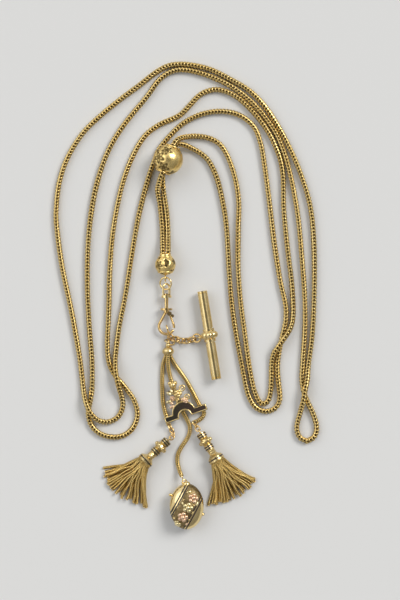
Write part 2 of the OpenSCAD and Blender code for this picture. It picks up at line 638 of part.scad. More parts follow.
module drop() {
    color(gold) union() {
        translate(drop_at) difference() {
            union() {
                oval_body(0);
                for (f = drop_flowers) on_front(f[0], f[1]) petals(f[2]);
                for (f = drop_leaves) on_front(f[0], f[1]) rotate(f[3])
                    square([1.7 * f[2], 0.8 * f[2]], center = true);
            }
            for (place = drop_bands) difference() {
                band_slab(place, drop_band_w + gap);
                oval_body(drop_enamel_t);
            }
        }
        drop_cap(0);
        translate(bail_at) rotate([0, 20, 0]) rotate_extrude($fn = 20)
            translate([bail_r, 0]) circle(d = 0.6, $fn = 6);
    }
}

module drop_enamel() {
    color(black_enamel) difference() {
        translate(drop_at) for (place = drop_bands) difference() {
            intersection() {
                oval_body(0);
                band_slab(place, drop_band_w);
            }
            oval_body(drop_enamel_t - gap / 2);
        }
        drop_cap(gap);
    }
}

chain_first_run();
chain_second_run();
slide_ball();
end_bead();
clip_ring();
swivel_bow();
clip_hook();
clip_lever();
hook_ring();
pendant_link();
for (i = [1:4]) bar_link(i);
bar_ring();
t_bar();
pendant_cap();
fine_chain(left_route, 35);  // fine_chain_left
fine_chain(centre_route, 90);  // fine_chain_centre
fine_chain(right_route, 20);  // fine_chain_right
plaque();
plaque_enamel();
for (i = [1:4]) left_link(i);
for (i = [1:2]) right_link(i);
tassel_head(left_tassel);  // tassel_head_left
tassel_head(right_tassel);  // tassel_head_right
tassel_enamel(left_tassel);  // tassel_enamel_left
tassel_enamel(right_tassel);  // tassel_enamel_right
fringe(left_tassel, left_tips);  // fringe_left
fringe(right_tassel, right_tips);  // fringe_right
drop();
drop_enamel();
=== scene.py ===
import math
import random

import bpy
import numpy as np
from mathutils import Matrix, Vector


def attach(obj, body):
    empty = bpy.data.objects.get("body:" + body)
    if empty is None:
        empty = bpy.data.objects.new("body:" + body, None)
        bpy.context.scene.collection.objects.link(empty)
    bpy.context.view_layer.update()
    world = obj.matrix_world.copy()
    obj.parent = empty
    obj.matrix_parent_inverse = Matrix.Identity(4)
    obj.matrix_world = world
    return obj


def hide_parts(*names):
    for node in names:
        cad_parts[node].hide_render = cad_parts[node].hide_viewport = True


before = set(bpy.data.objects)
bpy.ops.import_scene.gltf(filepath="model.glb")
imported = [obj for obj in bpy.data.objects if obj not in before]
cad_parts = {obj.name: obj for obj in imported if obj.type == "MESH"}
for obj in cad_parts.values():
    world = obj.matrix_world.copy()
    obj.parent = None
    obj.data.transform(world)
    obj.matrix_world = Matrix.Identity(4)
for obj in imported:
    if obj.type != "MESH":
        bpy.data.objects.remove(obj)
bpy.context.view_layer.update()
print("solids loaded:", len(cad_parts))

# sizes below are in millimetres, and mm turns them into metres
mm = 0.001

viewpoint = {
    "unit": 0.4,  # millimetres to one picture unit
    "wide": 400,
    "tall": 600,
    "originAcross": 186.5,
    "originDown": 295,
    "height": 800,
}


def setCamera():
    midAcross = (viewpoint["wide"] / 2 - viewpoint["originAcross"]) * viewpoint["unit"]
    midUp = (viewpoint["originDown"] - viewpoint["tall"] / 2) * viewpoint["unit"]
    bpy.ops.object.camera_add(location=(midAcross * mm, midUp * mm, viewpoint["height"] * mm))
    camera = bpy.context.object
    camera.name = "camera"
    camera.data.sensor_fit = "VERTICAL"
    camera.data.sensor_height = 24
    camera.data.lens = 24 * viewpoint["height"] / (viewpoint["tall"] * viewpoint["unit"])
    camera.data.clip_start = 0.01
    bpy.context.scene.camera = camera
    print("camera set")


setCamera()


# one output of a shader node, so that shader maths reads as plain sums
class Flow:
    def __init__(self, finish, socket):
        self.finish = finish
        self.socket = socket

    def joined(self, operation, first, second):
        return self.finish.node("ShaderNodeMath", {"operation": operation}, {0: first, 1: second})

    def __add__(self, other):
        return self.joined("ADD", self, other)

    def __radd__(self, other):
        return self.joined("ADD", other, self)

    def __sub__(self, other):
        return self.joined("SUBTRACT", self, other)

    def __rsub__(self, other):
        return self.joined("SUBTRACT", other, self)

    def __mul__(self, other):
        return self.joined("MULTIPLY", self, other)

    def __rmul__(self, other):
        return self.joined("MULTIPLY", other, self)


# the nodes of a material or of the world
class Finish:
    def __init__(self, holder):
        self.holder = holder
        self.holder.use_nodes = True
        self.tree = self.holder.node_tree
        self.tree.nodes.clear()

    def node(self, kind, settings=None, sockets=None, out=0):
        made = self.tree.nodes.new(kind)
        for key, value in (settings or {}).items():
            if key == "stops":
                while len(made.color_ramp.elements) < len(value):
                    made.color_ramp.elements.new(1)
                for element, (place, colour) in zip(made.color_ramp.elements, value):
                    element.position = place
                    element.color = colour
            else:
                setattr(made, key, value)
        for key, value in (sockets or {}).items():
            if isinstance(value, Flow):
                self.tree.links.new(value.socket, made.inputs[key])
            else:
                made.inputs[key].default_value = value
        return Flow(self, made.outputs[out]) if made.outputs else None

    def blend(self, share, first, second):
        return self.node("ShaderNodeMix", {"data_type": "RGBA"}, {0: share, 6: first, 7: second}, 2)

    def grain(self, place, scale, detail=3):
        return self.node("ShaderNodeTexNoise", None, {"Vector": place, "Scale": scale, "Detail": detail})

    def bumps(self, strength, height):
        sockets = {"Strength": strength, "Distance": 0.0001, "Height": height}
        return self.node("ShaderNodeBump", None, sockets)

    def surface(self, sockets):
        shader = self.node("ShaderNodeBsdfPrincipled", None, sockets)
        self.node("ShaderNodeOutputMaterial", None, {"Surface": shader})
        return self.holder


def solid(colour):
    return (colour[0], colour[1], colour[2], 1)


# gold tones: light and deep mottle at random; the third colour is painted shade, mixed in where the
# per-vertex shade attribute asks for it
golds = {
    "wovenGold": {"light": (1.0, 0.77, 0.33), "deep": (0.97, 0.70, 0.25), "shadeColour": (0.06, 0.032, 0.008),
                  "rough": 0.3, "spread": 0.16, "cloud": 90, "fine": 1500, "bump": 0.10},
    "fringeGold": {"light": (1.0, 0.75, 0.30), "deep": (0.97, 0.69, 0.24), "shadeColour": (0.03, 0.018, 0.005),
                   "rough": 0.36, "spread": 0.16, "cloud": 120, "fine": 1500, "bump": 0.10},
    "polishedGold": {"light": (0.93, 0.74, 0.38), "deep": (0.72, 0.54, 0.22), "shadeColour": (0.12, 0.08, 0.03),
                     "rough": 0.17, "spread": 0.12, "cloud": 160, "fine": 2200, "bump": 0.06},
    "clipGold": {"light": (0.80, 0.58, 0.26), "deep": (0.50, 0.33, 0.12), "shadeColour": (0.06, 0.04, 0.015),
                 "rough": 0.2, "spread": 0.14, "cloud": 380, "fine": 2400, "bump": 0.10},
    "wornGold": {"light": (0.78, 0.61, 0.30), "deep": (0.45, 0.32, 0.12), "shadeColour": (0.06, 0.04, 0.015),
                 "rough": 0.27, "spread": 0.18, "cloud": 420, "fine": 2400, "bump": 0.14},
    "engravedGold": {"light": (0.97, 0.74, 0.31), "deep": (0.72, 0.52, 0.18), "shadeColour": (0.03, 0.018, 0.006),
                     "rough": 0.29, "spread": 0.18, "cloud": 520, "fine": 2600, "bump": 0.3},
    "darkGold": {"light": (0.34, 0.25, 0.12), "deep": (0.11, 0.08, 0.03), "shadeColour": (0.03, 0.02, 0.01),
                 "rough": 0.42, "spread": 0.2, "cloud": 900, "fine": 2600, "bump": 0.5},
    "pinkGold": {"light": (0.88, 0.64, 0.44), "deep": (0.62, 0.40, 0.25), "shadeColour": (0.14, 0.07, 0.04),
                 "rough": 0.32, "spread": 0.14, "cloud": 300, "fine": 2600, "bump": 0.14},
    "greenGold": {"light": (0.82, 0.71, 0.42), "deep": (0.52, 0.44, 0.22), "shadeColour": (0.08, 0.07, 0.03),
                  "rough": 0.32, "spread": 0.14, "cloud": 300, "fine": 2600, "bump": 0.14},
}


def makeGold(name):
    tone = golds[name]
    finish = Finish(bpy.data.materials.new(name))
    place = finish.node("ShaderNodeTexCoord", out=3)
    cloud = finish.grain(place, tone["cloud"])
    fine = finish.grain(place, tone["fine"], 5)
    # the per-vertex attribute is painted shade: it mixes the gold towards its dark shade colour in chain
    # gaps and engraved cuts and recesses, and roughens it there
    shadeLayer = finish.node("ShaderNodeAttribute", {"attribute_name": "hollow"}, out=2)
    worn = finish.blend((cloud - 0.35) * 2.2, solid(tone["light"]), solid(tone["deep"]))
    colour = finish.blend(shadeLayer, worn, solid(tone["shadeColour"]))
    rough = (fine - 0.5) * tone["spread"] * 2 + tone["rough"] + shadeLayer * 0.25
    bump = finish.bumps(tone["bump"], fine)
    return finish.surface({"Base Color": colour, "Metallic": 1.0, "Roughness": rough, "Normal": bump})


# dark enamel, browner towards the right end of the plaque
enamel = {
    "olive": (0.030, 0.026, 0.015), "brown": (0.055, 0.034, 0.024), "dull": (0.02, 0.016, 0.012),
    "rough": 0.16, "turnAt": -5, "turnOver": 6, "cloud": 500, "fine": 3000, "bump": 0.08,
}


def makeEnamel():
    finish = Finish(bpy.data.materials.new("blackEnamel"))
    place = finish.node("ShaderNodeTexCoord", out=3)
    across = finish.node("ShaderNodeSeparateXYZ", None, {0: place}, 0)
    past = (across - enamel["turnAt"] * mm) * (1 / (enamel["turnOver"] * mm))
    share = finish.node("ShaderNodeClamp", None, {0: past})
    cloud = finish.grain(place, enamel["cloud"])
    fine = finish.grain(place, enamel["fine"])
    tone = finish.blend(share, solid(enamel["olive"]), solid(enamel["brown"]))
    colour = finish.blend(cloud * 0.5, tone, solid(enamel["dull"]))
    rough = fine * 0.2 + enamel["rough"]
    bump = finish.bumps(enamel["bump"], cloud)
    return finish.surface({"Base Color": colour, "Roughness": rough, "Normal": bump})


paints = {name: makeGold(name) for name in golds}
paints["blackEnamel"] = makeEnamel()
print("finishes made:", len(paints))


def clearSelection():
    if bpy.context.object and bpy.context.object.mode != "OBJECT":
        bpy.ops.object.mode_set(mode="OBJECT")
    bpy.ops.object.select_all(action="DESELECT")


def pickOnly(piece):
    clearSelection()
    piece.select_set(True)
    bpy.context.view_layer.objects.active = piece


def settle(piece, name=None):
    pickOnly(piece)
    bpy.ops.object.transform_apply(location=True, rotation=True, scale=True)
    if name:
        piece.name = name
        piece.data.name = name
    return piece


def smooth(piece, angle=40):
    pickOnly(piece)
    bpy.ops.object.shade_smooth_by_angle(angle=math.radians(angle))
    return piece


def outwards(piece):
    pickOnly(piece)
    bpy.ops.object.mode_set(mode="EDIT")
    bpy.ops.mesh.select_all(action="SELECT")
    bpy.ops.mesh.remove_doubles(threshold=1e-7)
    bpy.ops.mesh.normals_make_consistent(inside=False)
    bpy.ops.object.mode_set(mode="OBJECT")
    return piece


def joined(pieces, name):
    pickOnly(pieces[0])
    for piece in pieces:
        piece.select_set(True)
    if len(pieces) > 1:
        bpy.ops.object.join()
    whole = bpy.context.object
    whole.name = name
    whole.data.name = name
    return whole


def painted(piece, paint):
    piece.data.materials.clear()
    piece.data.materials.append(paints[paint])
    return piece


def ball(place, radius, squash=(1, 1, 1), turn=(0, 0, 0), segments=16, rings=10):
    clearSelection()
    bpy.ops.mesh.primitive_uv_sphere_add(segments=segments, ring_count=rings, radius=radius * mm,
                                         location=Vector(place) * mm, rotation=turn)
    made = bpy.context.object
    made.scale = squash
    return smooth(settle(made), 60)


def ring(place, radius, wire, turn=(0, 0, 0), around=32, sides=8):
    clearSelection()
    bpy.ops.mesh.primitive_torus_add(major_radius=radius * mm, minor_radius=wire / 2 * mm,
                                     major_segments=around, minor_segments=sides,
                                     location=Vector(place) * mm, rotation=turn)
    return smooth(settle(bpy.context.object), 80)


# a round wire that follows a few points, drawn as a curve and then made a mesh
def bentWire(points, wire, closed=False, sides=2, steps=6, handle="AUTO"):
    clearSelection()
    bpy.ops.curve.primitive_bezier_curve_add(radius=mm)
    made = bpy.context.object
    spline = made.data.splines[0]
    spline.bezier_points.add(len(points) - 2)
    for knot, place in zip(spline.bezier_points, points):
        knot.co = Vector(place) * mm
        knot.handle_left_type = handle
        knot.handle_right_type = handle
    spline.use_cyclic_u = closed
    made.data.resolution_u = steps
    made.data.bevel_depth = wire / 2 * mm
    made.data.bevel_resolution = sides
    made.data.use_fill_caps = not closed
    bpy.ops.object.convert(target="MESH")
    made = bpy.context.object
    return smooth(outwards(settle(made)), 70)


# the way the long chain lies: across, up and, where it is off the table, the height of its middle
longRun = {
    "thick": 2.1,
    "firstHalf": [
        (-7.3, 16.45, 4.1), (-7.3, 17.5, 3.95), (-7.3, 19.2, 3.1), (-7.4, 22.5, 1.4), (-7.5, 27),
        (-8, 33.5), (-9.1, 41, 1.4), (-9.4, 45, 3.1), (-9.3, 48.2, 4.7), (-7.4, 53.6, 4.9),
        (-5.3, 58.8, 4.7), (-3.4, 60.1, 3.9), (-0.6, 59.8, 2.6), (2.4, 58.5, 1.2), (5.5, 56.7),
        (8.8, 53.6), (12, 47), (14.4, 37.5), (16, 27), (17, 10), (18.2, -4), (20.2, -17.5), (22.5, -30),
        (24, -37.4), (25.4, -41.5), (27.4, -44.6), (30.2, -46.2), (33.4, -46.2), (36.2, -44.4),
        (37.3, -41), (36.8, -35.5), (36.3, -28.5), (37.2, -21.5), (38.4, -16), (39.6, -10.5),
        (39.6, -4), (37.4, 6), (35, 21), (33, 38), (31, 53), (29.4, 61.5), (26.8, 67.4), (21.5, 71.7),
        (14.5, 73.4), (6.5, 72.4), (-1, 68.8), (-6.6, 63.6), (-10.8, 58.4), (-12.9, 53.6), (-15.4, 46),
        (-19, 32), (-21.8, 16.5), (-24.4, 0), (-27, -13), (-28.3, -23.5), (-28.4, -27.6, 2.3),
        (-28.2, -30.6, 3.3), (-27.2, -35.6, 3.3), (-25.9, -40.4, 1.5), (-25.4, -44.4), (-27.2, -48.6),
        (-31, -50.6), (-35, -50.1, 1.7), (-37.8, -47.6, 3.3), (-39.9, -43.4, 3.3), (-41, -39, 1.5),
        (-41.6, -34), (-42.8, -24), (-46, -6), (-49.6, 11), (-51.8, 27), (-52, 35), (-50.8, 45),
        (-47.6, 54.6), (-41.6, 64.4), (-34.6, 71.4), (-26.6, 78), (-19, 83.6), (-12.6, 88.6),
        (-7.6, 91.4), (-2.4, 92.2), (3.6, 91.6), (10.2, 89.8), (17.8, 86), (25.3, 81.5), (31.5, 75.1),
        (36.6, 67.4), (41, 59.2), (45.6, 48.4), (49.4, 35.5), (50.9, 20), (51, 0), (50.2, -16),
        (48.7, -28), (48.2, -33.6, 2.4), (47.4, -37.4, 3.3), (46.6, -42, 3.3), (45.6, -46.4, 1.5),
        (44.3, -51), (44.1, -54), (45.4, -57), (48, -58.3),
    ],
    "secondHalf": [
        (50.6, -57.1), (51.9, -54.4), (51.7, -51), (50.4, -47), (48.7, -43.4), (47, -39), (46.1, -33.5),
        (46.5, -26), (47.3, -13), (47.2, 0), (46.2, 14), (44.7, 30), (42.6, 43), (40.2, 53), (37.4, 61),
        (34.7, 66.2), (29.6, 73.3), (23.5, 79.4), (16.7, 84), (9.3, 87.4), (2.8, 89.4), (-2.6, 90),
        (-7, 88.9), (-11.2, 85.6), (-16, 79), (-24.2, 69), (-30, 60), (-34, 50.5), (-37.2, 38),
        (-39.2, 22), (-39.6, 5), (-38.9, -12), (-37.8, -26), (-37.7, -37), (-38.5, -42.6), (-39.2, -47),
        (-38.2, -51.6), (-34.8, -55.2), (-30, -56.7), (-25, -56), (-21.2, -52.8), (-19.6, -47.6),
        (-21, -42), (-24.4, -37), (-28.2, -32.5), (-30.7, -27.6), (-31.6, -20), (-31, -5), (-30.6, 10),
        (-29.3, 26), (-26.2, 42), (-22.4, 53.4), (-17.2, 62.8), (-11.2, 67.8), (-3, 71.6), (1.2, 75.6),
        (5.2, 79.8), (9.6, 81.8), (13.6, 81.9), (17.8, 80.4), (22.2, 77.5), (27.8, 71.8), (32.7, 65),
        (35.4, 59.7), (37.5, 54), (38.6, 47), (38.9, 34), (40.2, 20), (42, 5), (42.6, -7),
        (41.8, -12.4, 2), (39.9, -16, 3.3), (37.4, -19.4, 3.3), (35.9, -21.6, 2.9), (34.8, -23.4, 2),
        (34, -27.5), (33.8, -36), (33.2, -40.6), (32.3, -42.7), (30.6, -43.5), (28.9, -42.4),
        (27.7, -40), (26.3, -35.5), (24.6, -26), (23, -13.5), (21.4, -1), (20.6, 12), (20.7, 27),
        (20.8, 38), (18.8, 49), (14.8, 58.4), (10.2, 62.2), (4.6, 63.4, 1.2), (0.8, 63.2, 2.4),
        (-2.2, 62.4, 4.8), (-4.4, 60.8, 6.7), (-5.5, 58.4, 7.15), (-7.4, 53.6, 7.15),
        (-9.7, 48.2, 7.15), (-10.8, 45, 5.3), (-11.5, 41.5, 2.6), (-10.6, 36, 1.1), (-9.8, 28),
        (-9.6, 22.5, 1.4), (-9.5, 19.2, 3.1), (-9.5, 17.5, 3.95), (-9.5, 16.45, 4.1),
    ],
}

# the pendant's three fine chains
fineRuns = {
    "thick": 1.6, "rolls": {"left": 35, "centre": 90, "right": 20},
    "endRing": {"reach": 0.75, "radius": 0.85, "wire": 0.5},
    "left": [
        (-8.15, -23.75, 1.85), (-8.2, -24.5, 1.7), (-8.9, -26.2, 1.2), (-9.5, -29), (-9.7, -34),
        (-9.6, -39.5), (-9.3, -43.4), (-8.7, -46.2, 1.2), (-7.9, -48.9, 1.45), (-7.3, -51, 0.9),
    ],
    "centre": [
        (-7.3, -23.75, 3.3), (-7.3, -24.6, 3.2), (-7.4, -26, 2.9), (-7.2, -28.6, 2), (-6.8, -31.2),
        (-6, -34.4), (-4.9, -38), (-3.6, -41.6, 1.2), (-2.2, -44.8, 1.45), (-0.8, -47.8, 1.1),
        (0.4, -50), (1.3, -52.4), (1.3, -54.6), (0.6, -56.8), (-0.9, -59.2), (-2.5, -61.6),
        (-3.5, -64.2), (-3.6, -66.8), (-3.1, -69, 1.1), (-2.6, -70.6, 2), (-2, -71.9, 3),
    ],
    "right": [
        (-6.45, -23.75, 1.85), (-6.4, -24.5, 1.7), (-5.7, -25.8, 1.2), (-4.4, -28), (-2.4, -30.8),
        (0, -34.2), (2, -37.8), (3.8, -41.2, 1.2), (5.5, -44.3, 1.45), (6.8, -46.1, 1.1), (7, -47.7),
        (6.1, -49.2), (4.8, -50.1, 0.85), (3.9, -50.6, 0.85),
    ],
}


def raised(rows, thick):
    return np.array([[row[0], row[1], row[2] if len(row) > 2 else thick / 2] for row in rows])


# a smooth way through the points, cut into steps of one length
def evenSteps(points, step):
    ends = np.vstack([2 * points[0] - points[1], points, 2 * points[-1] - points[-2]])
    way = []
    for i in range(len(points) - 1):
        a, b, c, d = ends[i:i + 4]
        for t in np.linspace(0, 1, 12, endpoint=False):
            way.append(0.5 * (2 * b + (c - a) * t + (2 * a - 5 * b + 4 * c - d) * t * t
                              + (3 * b - a - 3 * c + d) * t ** 3))
    way.append(points[-1])
    way = np.array(way)
    gone = np.concatenate([[0], np.cumsum(np.linalg.norm(np.diff(way, axis=0), axis=1))])
    count = max(2, int(round(gone[-1] / step)))
    places = np.linspace(0, gone[-1], count + 1)
    return np.stack([np.interp(places, gone, way[:, k]) for k in range(3)], axis=1)


# one stitch of the woven chain: a loop that zigzags round it, back at the faces and forward at the corners
wovenLink = {
    "wire": 0.42, "rim": 0.8, "faceDark": 0.4, "inwardDark": 2,
    "knots": [(0.76, 0, -0.32), (0.66, 0.66, 0.30), (0, 0.76, -0.32), (-0.66, 0.66, 0.30),
              (-0.76, 0, -0.32), (-0.66, -0.66, 0.30), (0, -0.76, -0.32), (0.66, -0.66, 0.30)],
}


def makeLink():
    link = bentWire(wovenLink["knots"], wovenLink["wire"], closed=True, sides=1, steps=1)
    corners = np.array([tuple(v.co) for v in link.data.vertices]) / mm
    faces = [tuple(p.vertices) for p in link.data.polygons]
    bpy.data.objects.remove(link)
    return corners, faces


linkCorners, linkFaces = makeLink()
print("one link has", len(linkFaces), "faces")


# stitches along a way, round a core that is ridged at the corners and sunk at the faces, with painted shade
# on the sunk faces
core = {"sides": 8, "face": 0.5, "corner": 0.95, "dark": (1.6, -0.35)}


# the two directions across a way, rolled about it
def crossways(along, roll):
    side = np.cross([0, 0, 1], along)
    side /= max(1e-6, np.linalg.norm(side))
    lift = np.cross(along, side)
    across = math.cos(roll) * side + math.sin(roll) * lift
    over = math.cos(roll) * lift - math.sin(roll) * side
    return across, over


def wovenStrand(ways, look, twist):
    corners, faces, hollow = [], [], []
    base = linkCorners * look["size"]
    # painted shade on each stitch: darker where the wire lies nearer the core and along the middle of each
    # face
    inward = wovenLink["rim"] - np.hypot(linkCorners[:, 0], linkCorners[:, 1])
    atFace = np.cos(4 * np.arctan2(linkCorners[:, 1], linkCorners[:, 0]))
    depth = np.clip(wovenLink["faceDark"] * atFace + wovenLink["inwardDark"] * inward, 0, 1)
    sides = core["sides"]
    reach = [look["size"] * core["corner" if k % 2 else "face"] for k in range(sides)]
    start = 0
    for w, way in enumerate(ways):
        places = evenSteps(way, look["step"])
        ahead = np.gradient(places, axis=0)
        ahead /= np.linalg.norm(ahead, axis=1)[:, None]
        rings = []
        for i, (place, along) in enumerate(zip(places, ahead)):
            across, over = crossways(along, twist(i * look["step"], w))
            corners.append(place + base[:, :1] * across + base[:, 1:2] * over + base[:, 2:] * along)
            faces.extend(tuple(start + c for c in face) for face in linkFaces)
            hollow.append(depth)
            start += len(base)
            for k, r in enumerate(reach):
                turn = 2 * math.pi * k / sides
                rings.append(place + r * (math.cos(turn) * across + math.sin(turn) * over))
        corners.append(np.array(rings))
        # painted shade on the core: dark at its faces, none at its corners
        hollow.append(np.tile(core["dark"], len(places) * sides // 2))
        for i in range(len(places) - 1):
            for k in range(sides):
                a, b = start + i * sides + k, start + i * sides + (k + 1) % sides
                faces.append((a, b, b + sides, a + sides))
        faces.append(tuple(start + k for k in reversed(range(sides))))
        faces.append(tuple(start + (len(places) - 1) * sides + k for k in range(sides)))
        start += len(places) * sides
    return np.vstack(corners) * mm, faces, np.concatenate(hollow)


def weave(name, ways, look, twist, body, solids):
    corners, faces, hollow = wovenStrand(ways, look, twist)
    mesh = bpy.data.meshes.new(name)
    mesh.from_pydata(corners.tolist(), [], faces)
    mesh.polygons.foreach_set("use_smooth", [True] * len(faces))
    # the stitches' painted shade goes on the mesh as a per-vertex attribute
    shadeLayer = mesh.attributes.new("hollow", "FLOAT", "POINT")
    shadeLayer.data.foreach_set("value", hollow.astype(np.float32))
    piece = bpy.data.objects.new(name, mesh)
    bpy.context.scene.collection.objects.link(piece)
    painted(piece, look["paint"])
    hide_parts(*solids)
    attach(piece, body)


guardWeave = {"size": 1.15, "step": 1.3, "paint": "wovenGold"}
fineWeave = {"size": 0.9, "step": 0.8, "paint": "wovenGold"}
fringeWeave = {"size": 0.54, "step": 0.5, "paint": "fringeGold"}


def slowTwist(gone, strand):
    return 0.16 * math.sin(gone / 17) + 0.1 * math.sin(gone / 6.1)


wholeWay = raised(longRun["firstHalf"] + longRun["secondHalf"], longRun["thick"])
split = len(longRun["firstHalf"])
weave("guardChainFirst", [wholeWay[:split]], guardWeave, slowTwist, "jewel", ["chain_first_run"])
weave("guardChainSecond", [wholeWay[split - 1:]], guardWeave, slowTwist, "jewel", ["chain_second_run"])
print("long chain woven")


def endRingPlace(way, reach):
    along = way[-1] - way[-2]
    along = along / np.linalg.norm(along)
    return way[-1] + along * reach, along


for side, roll in fineRuns["rolls"].items():
    way = raised(fineRuns[side], fineRuns["thick"])
    place, along = endRingPlace(way, fineRuns["endRing"]["reach"])
    yaw = math.atan2(along[1], along[0])
    pitch = -math.asin(along[2])
    turn = (Matrix.Rotation(yaw, 3, "Z") @ Matrix.Rotation(pitch, 3, "Y")
            @ Matrix.Rotation(math.radians(roll), 3, "X")).to_euler()
    loop = ring(place, fineRuns["endRing"]["radius"], fineRuns["endRing"]["wire"], turn)
    weave("fineChain" + side.capitalize(), [way], fineWeave, slowTwist, "jewel", ["fine_chain_" + side])
    painted(loop, "polishedGold")
    loop.name = "fineChainRing" + side.capitalize()
    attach(loop, "jewel")
print("fine chains woven")

# ball that slides on the doubled chain: a ball with a bore, two rims and cut flowers
slide = {
    "place": (-7.3, 53.8, 6), "radius": 6, "bore": 2.4, "yaw": 68,
    "flowers": [(170, 50, 2.5), (95, 52, 2.0), (245, 48, 2.2), (200, 10, 1.8), (135, 10, 1.8),
                (285, 12, 1.8), (55, 12, 1.8), (160, -30, 1.6)],
    "cut": 0.4, "line": 0.46, "recesses": [], "rim": (2.75, 0.6), "rimBack": 0.1,
}
# the bead at the chain's two ends: neck, rims and bail are given from its middle
bead = {
    "place": (-8.4, 12, 4.1), "radius": 4.1,
    "flowers": [(185, 48, 1.7), (20, 20, 1.3), (125, 15, 1.2), (245, 20, 1.3), (310, 20, 1.3)],
    "cut": 0.3, "line": 0.36,
    "recesses": [(0.2, 1.7, 0.8, 0.5), (0.7, 0.8, 1.1, 0.6), (0.5, -0.4, 0.8, 0.5)],
    "neck": {"radius": 2.3, "tall": 1.6, "up": 3.5, "bevel": 0.25},
    "rims": [(3.1, 2.55, 0.6), (-2.9, 2.7, 0.8)], "bail": (-5.2, -0.9, 1.25, 0.6),
}


def cutFlowers(piece, look):
    centre = Vector(look["place"]) * mm
    line = look["line"]
    for corner in piece.data.vertices:
        away = (corner.co - centre) / mm
        if abs(away.length - look["radius"]) > 0.05:
            continue
        drop = 0
        for turn, rise, size in look["flowers"]:
            a, b = math.radians(turn), math.radians(rise)
            middle = Vector((math.cos(b) * math.cos(a), math.cos(b) * math.sin(a), math.sin(b)))
            gap = away - middle * look["radius"]
            far = gap.length
            if far > size * 1.5:
                continue
            east = Vector((-math.sin(a), math.cos(a), 0))
            north = middle.cross(east)
            bearing = math.atan2(gap.dot(north), gap.dot(east))
            edge = size * (0.72 + 0.28 * math.cos(5 * bearing))
            drop += math.exp(-((far - edge) / line) ** 2)
            drop += 0.6 * math.exp(-((far - size * 0.22) / (line * 0.8)) ** 2)
            drop += 0.5 * math.exp(-(math.sin(2.5 * bearing) * far / line) ** 2) * (far < edge)
        drop = min(drop, 1) * look["cut"]
        for x, y, size, deep in look["recesses"]:
            far = (away.xy - Vector((x, y))).length
            if away.z > 0 and far < size:
                drop = max(drop, deep * (1 - (far / size) ** 4))
        corner.co -= away.normalized() * drop * mm
    # painted shade: each cut or recess is painted darker the deeper it goes
    hollow = piece.data.attributes.new("hollow", "FLOAT", "POINT")
    for corner, value in zip(piece.data.vertices, hollow.data):
        depth = look["radius"] - (corner.co - centre).length / mm
        value.value = min(0.92, max(0, depth / look["cut"] * 0.92)) if depth < 1 else 0


def makeSlide():
    look = slide
    clearSelection()
    yaw = math.radians(look["yaw"])
    turn = (Matrix.Rotation(yaw, 3, "Z") @ Matrix.Rotation(math.pi / 2, 3, "Y")).to_euler()
    bpy.ops.mesh.primitive_uv_sphere_add(segments=128, ring_count=96, radius=look["radius"] * mm,
                                         location=Vector(look["place"]) * mm, rotation=turn)
    shell = settle(bpy.context.object)
    axis = Vector((math.cos(yaw), math.sin(yaw), 0))
    centre = Vector(look["place"]) * mm
    bpy.ops.object.mode_set(mode="EDIT")
    bpy.ops.mesh.select_mode(type="VERT")
    bpy.ops.mesh.select_all(action="DESELECT")
    bpy.ops.object.mode_set(mode="OBJECT")
    for corner in shell.data.vertices:
        away = corner.co - centre
        corner.select = (away - axis * away.dot(axis)).length < look["bore"] * mm
    bpy.ops.object.mode_set(mode="EDIT")
    bpy.ops.mesh.delete(type="VERT")
    bpy.ops.mesh.select_all(action="SELECT")
    bpy.ops.mesh.region_to_loop()
    bpy.ops.mesh.bridge_edge_loops()
    bpy.ops.object.mode_set(mode="OBJECT")
    smooth(shell, 50)
    cutFlowers(shell, look)
    reach = math.sqrt(look["radius"] ** 2 - look["bore"] ** 2) - look["rimBack"]
    parts = [shell]
    for way in (-1, 1):
        parts.append(ring(Vector(look["place"]) + axis * way * reach, *look["rim"], turn, 48, 10))
    whole = painted(outwards(joined(parts, "slideBall")), "engravedGold")
    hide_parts("slide_ball")
    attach(whole, "jewel")


def makeBead():
    look = bead
    clearSelection()
    bpy.ops.mesh.primitive_uv_sphere_add(segments=96, ring_count=72, radius=look["radius"] * mm,
                                         location=Vector(look["place"]) * mm, rotation=(math.pi / 2, 0, 0))
    body = smooth(settle(bpy.context.object))
    cutFlowers(body, look)
    x, y, z = look["place"]
    shape = look["neck"]
    upright = (math.pi / 2, 0, 0)
    clearSelection()
    bpy.ops.mesh.primitive_cylinder_add(vertices=48, radius=shape["radius"] * mm, depth=shape["tall"] * mm,
                                        location=Vector((x, y + shape["up"], z)) * mm, rotation=upright)
    neck = settle(bpy.context.object)
    bpy.ops.object.modifier_add(type="BEVEL")
    neck.modifiers[0].width = shape["bevel"] * mm
    neck.modifiers[0].segments = 3
    bpy.ops.object.modifier_apply(modifier=neck.modifiers[0].name)
    smooth(neck)
    parts = [body, neck]
    parts += [ring((x, y + up, z), radius, wire, upright, 48, 10) for up, radius, wire in look["rims"]]
    up, high, radius, wire = look["bail"]
    parts.append(ring((x, y + up, z + high), radius, wire, (0, math.pi / 2, 0), 40, 10))
    whole = painted(outwards(joined(parts, "endBead")), "engravedGold")
    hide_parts("end_bead")
    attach(whole, "jewel")


makeSlide()
makeBead()
print("slide and end bead made")

